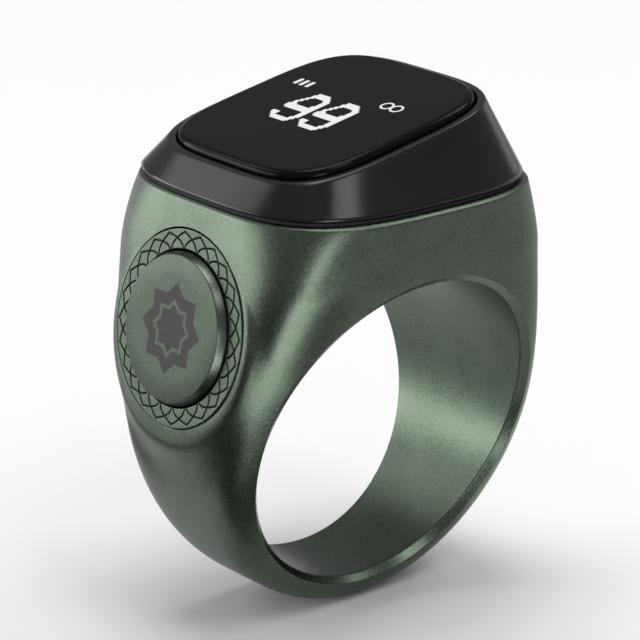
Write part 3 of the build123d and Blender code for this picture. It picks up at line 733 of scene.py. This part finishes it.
# %% The port's posts
PORT_X, PORT_Y, PORT_POWER = 1.3, 3.0, 14
PIN_R, PIN_PITCH = 0.7, 3.6
PORT_LIFT, PIN_LIFT = 0.012, 0.024


def bore_post(half_x, half_y, power, at_y, lift):
    """A closed post from the head's floor to the bore's curve, z = sqrt(r^2 - x^2), a little inside it."""
    x, y = superellipse(around, power)
    share = np.array([0, 0.4, 0.8, 0.97, 1, 1, 0])[:, None]
    at_bore = np.array([True] * 5 + [False] * 2)[:, None]
    post_x = half_x * share * x
    z = np.where(at_bore, np.sqrt((BORE_R - lift) ** 2 - post_x ** 2), HEAD_FLOOR_Z)
    return np.stack([post_x, at_y + half_y * share * y, z], -1)


slot_of = {part["node"]: part["material_slot"] for part in frame["record"]["subparts"]}
port_block = make_piece("port_block", [(bore_post(PORT_X, PORT_Y, PORT_POWER, 0, PORT_LIFT), True)], "ring",
                        "contact_insulator")
pin_grids = [(bore_post(PIN_R, PIN_R, 2, side * PIN_PITCH / 2, PIN_LIFT), True) for side in (-1, 1)]
port_pins = make_piece("port_pins", pin_grids, "ring", "charging_contacts")

# %% [markdown]
# ## Shader maths as expressions
# A material is a graph of nodes, and formulas read better as formulas. This small class wraps a socket:
# adding or multiplying wrapped sockets adds Math nodes, and one method makes any node from its type,
# settings and inputs.

# %% The socket class
class Wire:
    """A socket in a material's node tree, with arithmetic."""

    def __init__(self, tree, socket):
        self.tree = tree
        self.socket = socket

    def node(self, kind, settings, inputs, out=0):
        """Adds a node: settings first, then a value or a wire for each named or numbered input."""
        made = self.tree.nodes.new(kind)
        for key, value in settings.items():
            setattr(made, key, value)
        for key, value in inputs.items():
            if isinstance(value, Wire):
                self.tree.links.new(value.socket, made.inputs[key])
            else:
                made.inputs[key].default_value = value
        return Wire(self.tree, made.outputs[out])

    def math(self, operation, a, b):
        """One Math node on two values or wires."""
        return self.node("ShaderNodeMath", {"operation": operation}, {0: a, 1: b})

    def __add__(self, other):
        return self.math("ADD", self, other)

    def __sub__(self, other):
        return self.math("SUBTRACT", self, other)

    def __rsub__(self, other):
        return self.math("SUBTRACT", other, self)

    def __mul__(self, other):
        return self.math("MULTIPLY", self, other)

    def __abs__(self):
        return self.math("ABSOLUTE", self, 0)

    def greater(self, other):
        """The greater of two values."""
        return self.math("MAXIMUM", self, other)

    def step(self, low, high):
        """0 below low, 1 above high, and smooth between."""
        return self.node("ShaderNodeMapRange", {"interpolation_type": "SMOOTHSTEP"},
                         {"Value": self, "From Min": low, "From Max": high})

    def mix(self, a, b):
        """Colour a where this value is 0 and colour b where it is 1."""
        return self.node("ShaderNodeMix", {"data_type": "RGBA"}, {0: self, 6: a, 7: b}, 2)

    def dot(self, way):
        """How far a place lies along a direction."""
        return self.node("ShaderNodeVectorMath", {"operation": "DOT_PRODUCT"}, {0: self, 1: tuple(way)}, 1)

    def hypot(self, other):
        """The long side of a right triangle with these two values as its short sides."""
        flat = self.node("ShaderNodeCombineXYZ", {}, {0: self, 1: other})
        return self.node("ShaderNodeVectorMath", {"operation": "LENGTH"}, {0: flat}, 1)

    def noise(self, scale, detail=2.0):
        """A smooth noise with this many waves to the millimetre."""
        return self.node("ShaderNodeTexNoise", {}, {"Vector": self, "Scale": scale, "Detail": detail})


# %% [markdown]
# ## Starting a finish
# Every finish starts in the same way: a Principled shader, the piece's own coordinates in millimetres, and
# plain numbers set straight on its sockets. What varies over the surface is wired in afterwards.

# %% Finish helpers
def start_finish(name, **sockets):
    """A new material, its shader node, and the object's coordinates in millimetres."""
    material = bpy.data.materials.new(name)
    material.use_nodes = True
    tree = material.node_tree
    shader = tree.nodes["Principled BSDF"]
    for key, value in sockets.items():
        shader.inputs[key.replace("_", " ")].default_value = value
    metres = Wire(tree, tree.nodes.new("ShaderNodeTexCoord").outputs["Object"])
    place = metres.node("ShaderNodeVectorMath", {"operation": "SCALE"}, {0: metres, "Scale": 1 / MM})
    return material, shader, place


def opaque(tone):
    """A grey, or a colour of three parts, with full cover."""
    return (*np.broadcast_to(tone, 3), 1)


def feed(shader, **wires):
    """Links each wire to the shader's socket of that name."""
    for key, wire in wires.items():
        wire.tree.links.new(wire.socket, shader.inputs[key.replace("_", " ")])


def bump(height, strength, depth_mm):
    """A normal bent as if the surface rose by depth_mm where the height is 1."""
    inputs = {"Height": height, "Strength": strength, "Distance": depth_mm * MM}
    return height.node("ShaderNodeBump", {}, inputs)


def give(material, *pieces):
    """Makes a material the only one of each piece."""
    for piece in pieces:
        piece.data.materials.clear()
        piece.data.materials.append(material)


# %% [markdown]
# ## Blasted sage metal
# The body is metal blasted with fine beads and dyed sage green. Blasting leaves dimples of about a tenth of
# a millimetre, which spread the highlights and give a sandy sparkle. So the metal is fully metallic, one
# fine noise gives its roughness and bump, and a slow one keeps the dye from being even. The bevel round the
# bore is cut after the blasting, so it has no dimples and takes a brighter catch light. It is found by its
# distance from the bore's axis, at which no other face in view lies.

# %% Sage metal for the body
SAGE = np.array([0.096, 0.122, 0.094])
GRAIN_SCALE, GRAIN_DETAIL, CLOUD_SCALE, CLOUD_SHARE = 7.0, 3.0, 0.5, 0.25
GRAIN_TONE, GRAIN_ROUGH, GRAIN_DEPTH = 0.22, 0.16, 0.02
TONE_LOW, TONE_HIGH = 0.3, 0.7
BODY_ROUGH, BODY_BUMP, BEVEL_POLISH = 0.27, 0.4, 0.08
BEVEL_IN, BEVEL_FULL, BEVEL_OUT = BORE_R + 0.02, BORE_R + 0.06, RIM_R - 0.03


def sage(name, tone):
    """Sage metal made darker by a tone, with the grain that its roughness and bump use as well."""
    material, shader, place = start_finish(name, Metallic=1.0)
    grain = place.noise(GRAIN_SCALE, GRAIN_DETAIL)
    cloud = place.noise(CLOUD_SCALE)
    deep, light = SAGE * tone * (1 - GRAIN_TONE), SAGE * tone * (1 + GRAIN_TONE)
    blend = cloud * CLOUD_SHARE + grain * (1 - CLOUD_SHARE)
    colour = blend.step(TONE_LOW, TONE_HIGH).mix(opaque(deep), opaque(light))
    return material, shader, place, grain, colour


body_finish, shader, place, grain, colour = sage("sage_blasted", 1.0)
from_axis = place.dot((1, 0, 0)).hypot(place.dot((0, 0, 1)))
on_bevel = from_axis.step(BEVEL_IN, BEVEL_FULL) * (1 - from_axis.step(BEVEL_OUT, RIM_R))
feed(shader, Base_Color=colour, Roughness=grain * GRAIN_ROUGH + BODY_ROUGH - on_bevel * BEVEL_POLISH,
     Normal=bump(grain * (1 - on_bevel), BODY_BUMP, GRAIN_DEPTH))
give(body_finish, ring_skin)
print("bevel from", BORE_R, "to", RIM_R, "off the axis")

# %% Sage metal for the trim ring
# The engraved lines are coloured near-black and made rougher.
LINE_BLACK = (0.012, 0.016, 0.012, 1)
TRIM_TONE, TRIM_ROUGH, TRIM_BUMP, LINE_ROUGH = 0.8, 0.29, 0.25, 0.3
trim_finish, shader, place, grain, colour = sage("sage_lattice", TRIM_TONE)
toned = place.node("ShaderNodeAttribute", {"attribute_name": "cut"}, {}, 2)
feed(shader, Base_Color=toned.mix(colour, LINE_BLACK), Normal=bump(grain, TRIM_BUMP, GRAIN_DEPTH),
     Roughness=grain * GRAIN_ROUGH + TRIM_ROUGH + toned * LINE_ROUGH)
give(trim_finish, lattice_ring)
print("trim ring dyed to", TRIM_TONE, "of the body's tone")

# %% [markdown]
# ## The cap's finish
# The face of the cap is blasted like the body but dyed deeper, and its tapered side is bright from the
# lathe. An eight-pointed star, two crossed squares as in old tilework, is printed on it in warm grey, with
# a thin line left bare inside its outline. All are masks: the side by its distance from the button's axis,
# and the star by the distance to two squares, one turned by an eighth of a turn.

# %% Cap finish
STAR_HALF, STAR_GROOVE, STAR_LINE = 1.95, 1.25, 0.22
PRINT_SOFT, PRINT_ROUGH, PRINT_DULL = 0.03, 0.12, 0.7
CAP_TONE, CAP_ROUGH, CAP_BUMP = 0.62, 0.32, 0.3
TAPER_FADE, TAPER_POLISH = 0.02, 0.1
PRINT_GREY = (0.020, 0.018, 0.017, 1)
TAPER_BRIGHT = (0.100, 0.120, 0.098, 1)
cap_finish, shader, place, grain, colour = sage("sage_cap", CAP_TONE)
across_cap = place.dot(BUTTON_SIDE) - float(BUTTON_AT @ BUTTON_SIDE)
up_cap = place.dot(BUTTON_UP) - float(BUTTON_AT @ BUTTON_UP)
diagonal = np.sqrt(0.5)
turned_a, turned_b = (across_cap + up_cap) * diagonal, (across_cap - up_cap) * diagonal


def square_mask(a, b, half):
    """1 inside a square of this half side."""
    return 1 - abs(a).greater(abs(b)).step(half - PRINT_SOFT, half + PRINT_SOFT)


def star_mask(half):
    """1 inside the outline of two crossed squares."""
    return square_mask(across_cap, up_cap, half).greater(square_mask(turned_a, turned_b, half))


star = star_mask(STAR_HALF) - star_mask(STAR_GROOVE) + star_mask(STAR_GROOVE - STAR_LINE)
bright = across_cap.hypot(up_cap).step(face_edge - TAPER_FADE, face_edge + TAPER_FADE)
feed(shader, Base_Color=star.mix(bright.mix(colour, TAPER_BRIGHT), PRINT_GREY),
     Roughness=grain * GRAIN_ROUGH + CAP_ROUGH - bright * TAPER_POLISH + star * PRINT_ROUGH,
     Metallic=1 - star * PRINT_DULL, Normal=bump(grain * (1 - bright), CAP_BUMP, GRAIN_DEPTH))
give(cap_finish, cap_shell)
print("star", 2 * STAR_HALF, "mm across its squares, on a face of", 2 * face_edge)

# %% [markdown]
# ## Polished black, lens and light
# The bezel is black and polished, so what shows on it is the room. A trace of haze in its roughness keeps
# the reflections from being perfect. The lens is black glass over an unlit panel. The lit figures glow
# about as bright as pale paper, as a display does in a bright room.

# %% Black finishes
BLACK = (0.004, 0.004, 0.0043, 1)
BEZEL_ROUGH, BEZEL_HAZE, BEZEL_BUMP, BEZEL_DEPTH = 0.15, 0.08, 0.05, 0.01
LENS_ROUGH, LENS_HAZE = 0.08, 0.06
bezel_finish, shader, place = start_finish("bezel_gloss", Base_Color=BLACK, Specular_IOR_Level=0.42)
feed(shader, Roughness=place.noise(scale=2.5, detail=4.0) * BEZEL_HAZE + BEZEL_ROUGH,
     Normal=bump(place.noise(scale=1.2), BEZEL_BUMP, BEZEL_DEPTH))
give(bezel_finish, bezel_shell)

lens_finish, shader, place = start_finish("lens_gloss", Base_Color=BLACK, Specular_IOR_Level=0.08)
feed(shader, Roughness=place.noise(scale=1.5, detail=3.0) * LENS_HAZE + LENS_ROUGH)
give(lens_finish, lens_shell)
print("finishes", bezel_finish.name, lens_finish.name)

# %% Lit finish
LIT_LOW, LIT_HIGH, UNLIT = opaque(0.68), opaque(0.78), opaque(0.1)
lit_finish, shader, place = start_finish("lit_dots", Base_Color=UNLIT, Roughness=0.4, Emission_Strength=1.0)
feed(shader, Emission_Color=place.noise(scale=3.0, detail=1.0).mix(LIT_LOW, LIT_HIGH))
give(lit_finish, lit_figures)
print("finish", lit_finish.name)

# %% [markdown]
# ## Inside the ring
# The board, cell, motor and switch are hidden, but they show when the ring is opened in a model viewer. One
# function makes a finish from two tones, a grain size, a roughness and whether it is metal, and the frame's
# own slots say which node gets which.

# %% Finishes for the inner pieces
SPECK_ROUGH, SPECK_BUMP, SPECK_DEPTH = 0.12, 0.2, 0.01
INNER = {
    "seal_rubber": (0.012, 0.02, 6.0, 0.75, 0.0),
    "adhesive": (0.05, 0.09, 4.0, 0.6, 0.0),
    "panel": ((0.012, 0.012, 0.018), (0.02, 0.02, 0.03), 1.0, 0.1, 0.0),
    "polyimide": ((0.5, 0.24, 0.04), (0.6, 0.32, 0.08), 3.0, 0.4, 0.0),
    "carrier_plastic": (0.03, 0.055, 7.0, 0.55, 0.0),
    "board": ((0.02, 0.14, 0.06), (0.04, 0.22, 0.1), 2.0, 0.35, 0.0),
    "chip_black": (0.02, 0.035, 9.0, 0.6, 0.0),
    "ceramic": ((0.7, 0.66, 0.58), (0.8, 0.77, 0.7), 5.0, 0.5, 0.0),
    "steel": (0.55, 0.66, 6.0, 0.3, 1.0),
    "cell_foil": ((0.66, 0.67, 0.69), (0.76, 0.77, 0.79), 1.5, 0.35, 1.0),
    "weight_metal": ((0.4, 0.37, 0.31), (0.5, 0.47, 0.41), 8.0, 0.4, 1.0),
    "contact_gold": ((0.76, 0.56, 0.2), (0.86, 0.69, 0.32), 5.0, 0.22, 1.0),
    "magnet_nickel": ((0.64, 0.62, 0.58), (0.74, 0.73, 0.7), 5.0, 0.2, 1.0),
}


def inner_finish(name, dark, light, grain_size, roughness, metal):
    """Two tones mixed by a noise, which also varies the roughness and gives a fine bump."""
    material, shader, place = start_finish(name, Metallic=metal)
    speck = place.noise(grain_size, GRAIN_DETAIL)
    feed(shader, Base_Color=speck.step(TONE_LOW, TONE_HIGH).mix(opaque(dark), opaque(light)),
         Roughness=speck * SPECK_ROUGH + (roughness - SPECK_ROUGH / 2),
         Normal=bump(speck, SPECK_BUMP, SPECK_DEPTH))
    return material


finishes = {slot: inner_finish(slot, *look) for slot, look in INNER.items()}
finishes.update(sage_metal=body_finish, bezel_black=bezel_finish, lens_black=lens_finish)
for node, slot in slot_of.items():
    give(finishes[slot], frame["nodes"][node])
give(finishes[slot_of["contact_insulator"]], port_block)
give(finishes[slot_of["charging_contacts"]], port_pins)
print("finishes", sorted(finishes))

# %% [markdown]
# ## Camera
# The camera stands where the picture was taken, at the distance its perspective gives. Its directions come
# first, because the paper and the lights are set out from them.

# %% Camera
PICTURE = 640
FOCAL_PIXELS = 3251.0
SENSOR_MM = 36.0
AZIMUTH, ELEVATION = np.radians(-39.376), np.radians(20.379)
DISTANCE = 0.19881
ORIGIN_AT = (331.25, 403.59)
toward = np.array([np.sin(AZIMUTH), -np.cos(AZIMUTH), 0])
rightward = np.array([np.cos(AZIMUTH), np.sin(AZIMUTH), 0])
behind = toward * np.cos(ELEVATION) + np.array([0, 0, np.sin(ELEVATION)])
upward = np.cross(behind, rightward)
aim = (-behind + rightward * (PICTURE / 2 - ORIGIN_AT[0]) / FOCAL_PIXELS
       - upward * (PICTURE / 2 - ORIGIN_AT[1]) / FOCAL_PIXELS)
optics = bpy.data.cameras.new("picture_camera")
optics.sensor_width = SENSOR_MM
optics.lens = FOCAL_PIXELS / PICTURE * SENSOR_MM
optics.clip_start, optics.clip_end = 0.01, 10
camera = add_object("picture_camera", optics)
camera.location = behind * DISTANCE
camera.rotation_mode = "QUATERNION"
camera.rotation_quaternion = Vector(aim).to_track_quat("-Z", "Y")
scene.camera = camera
print("camera at", camera.location)

# %% [markdown]
# ## What the ring stands on
# The ring stands on a strip of pale paper. Outside the picture the floor is painted with shade: a dark band
# in front and on the left, as far as a second pale band, and grey on the right. Metal and gloss show what
# surrounds them, so this painted shade darkens the ring's front. One flat floor carries it all, as bands of
# colour.

# %% Paper and painted shade
FLOOR_HALF, FLOOR_POINTS = 1.5, 5
SHEET_FRONT, SHEET_HALF, SHEET_FADE = 9.5, 22, 5
SHADE_LEFT_END, SHADE_LEFT_FADE = 30, 6
SHEET_FLARE = 0.12
PALE, GREY, DARK = opaque(0.94), opaque(0.58), opaque(0.08)
floor_mesh = bpy.data.meshes.new("pale_floor")
floor_grid = np.linspace(-FLOOR_HALF, FLOOR_HALF, FLOOR_POINTS)
floor_x, floor_y = np.meshgrid(floor_grid, floor_grid)
floor_points = np.stack([floor_x, floor_y, 0 * floor_x - BASE_R * MM], -1)
floor_faces = grid_faces(FLOOR_POINTS, FLOOR_POINTS, False)
floor_mesh.from_pydata(floor_points.reshape(-1, 3).tolist(), [], floor_faces.tolist())
floor = add_object("pale_floor", floor_mesh)
floor_finish, shader, place = start_finish("sheet_on_table", Roughness=0.9, Specular_IOR_Level=0.0)
past_front = place.dot(toward).step(SHEET_FRONT, SHEET_FRONT + SHEET_FADE)
past_right = place.dot(rightward + SHEET_FLARE * toward).step(SHEET_HALF, SHEET_HALF + SHEET_FADE)
leftward = place.dot(SHEET_FLARE * toward - rightward)
shade_left = leftward.step(SHEET_HALF, SHEET_HALF + SHEET_FADE) - leftward.step(SHADE_LEFT_END, SHADE_LEFT_END + SHADE_LEFT_FADE)
# The dark and grey bands are painted shade, there for the ring's metal and gloss to reflect.
feed(shader, Base_Color=past_right.mix(past_front.greater(shade_left).mix(PALE, DARK), GREY))
give(floor_finish, floor)
print("paper", 2 * SHEET_HALF, "mm wide, ending", SHEET_FRONT, "mm in front of the ring's middle")

# %% [markdown]
# ## Light
# The light is a few soft boxes: one overhead for the paper, a low one behind the left for the flank and a
# dimmer one above it, small ones for the bezel, the lip and the bore's bevel, and a panel lying in front,
# with a low box beyond it, that draw the streak on the corner. Each is given by the brightness of its face,
# so its size can change and its reflection stays as bright.

# %% Soft boxes
WORLD_GREY = 0.3
world = bpy.data.worlds.new("studio_grey")
world.use_nodes = True
world.node_tree.nodes["Background"].inputs["Color"].default_value = opaque(WORLD_GREY)
scene.world = world


def soft_box(name, at, faces, upright, width, height, brightness):
    """A lamp of this size and brightness at a place in metres. Its height runs along upright."""
    out = -np.array(faces) / np.linalg.norm(faces)
    side = np.cross(upright, out)
    side = side / np.linalg.norm(side)
    lamp = bpy.data.lights.new(name, "AREA")
    lamp.shape = "RECTANGLE"
    lamp.size, lamp.size_y = width, height
    lamp.energy = brightness * np.pi * width * height
    holder = add_object(name, lamp)
    holder.location = at
    holder.rotation_mode = "QUATERNION"
    holder.rotation_quaternion = Matrix(np.array([side, np.cross(out, side), out]).T.tolist()).to_quaternion()


# %% Where the soft boxes hang
# Each row is the way from the ring, the distance, the width and height, and the brightness.
BOXES = {
    "over_box": ((0.06, 0.14, 0.99), 0.6, 0.34, 0.34, 4.25),
    "flank_box": ((-0.66, 0.74, 0.13), 0.5, 0.46, 0.15, 4.8),
    "bezel_box": ((-0.42, 0.72, 0.56), 0.55, 0.30, 0.28, 1.5),
    "front_box": ((0.04, -0.53, 0.84), 0.5, 0.15, 0.19, 3.1),
    "lip_box": ((0.62, -0.14, 0.77), 0.55, 0.22, 0.24, 3.5),
    "right_box": ((0.98, 0.14, 0.18), 0.5, 0.16, 0.16, 0.6),
    "corner_box": ((-0.45, -0.885, 0.1), 0.36, 0.11, 0.1, 6.5),
}
for name, (way, distance, width, height, brightness) in BOXES.items():
    at = np.array(way) / np.linalg.norm(way) * distance
    soft_box(name, at, -at, (0, 0, 1), width, height, brightness)
STREAK_AT, STREAK_SIDE, STREAK_LIFT = 0.104, 0.005, 0.0003
STREAK_WIDTH, STREAK_LENGTH, STREAK_BRIGHTNESS = 0.03, 0.148, 3.8
streak_place = toward * STREAK_AT + rightward * STREAK_SIDE + np.array([0, 0, STREAK_LIFT - BASE_R * MM])
soft_box("streak_panel", streak_place, (0, 0, 1), toward, STREAK_WIDTH, STREAK_LENGTH, STREAK_BRIGHTNESS)
print("soft boxes", len(BOXES), "and a panel at", streak_place)
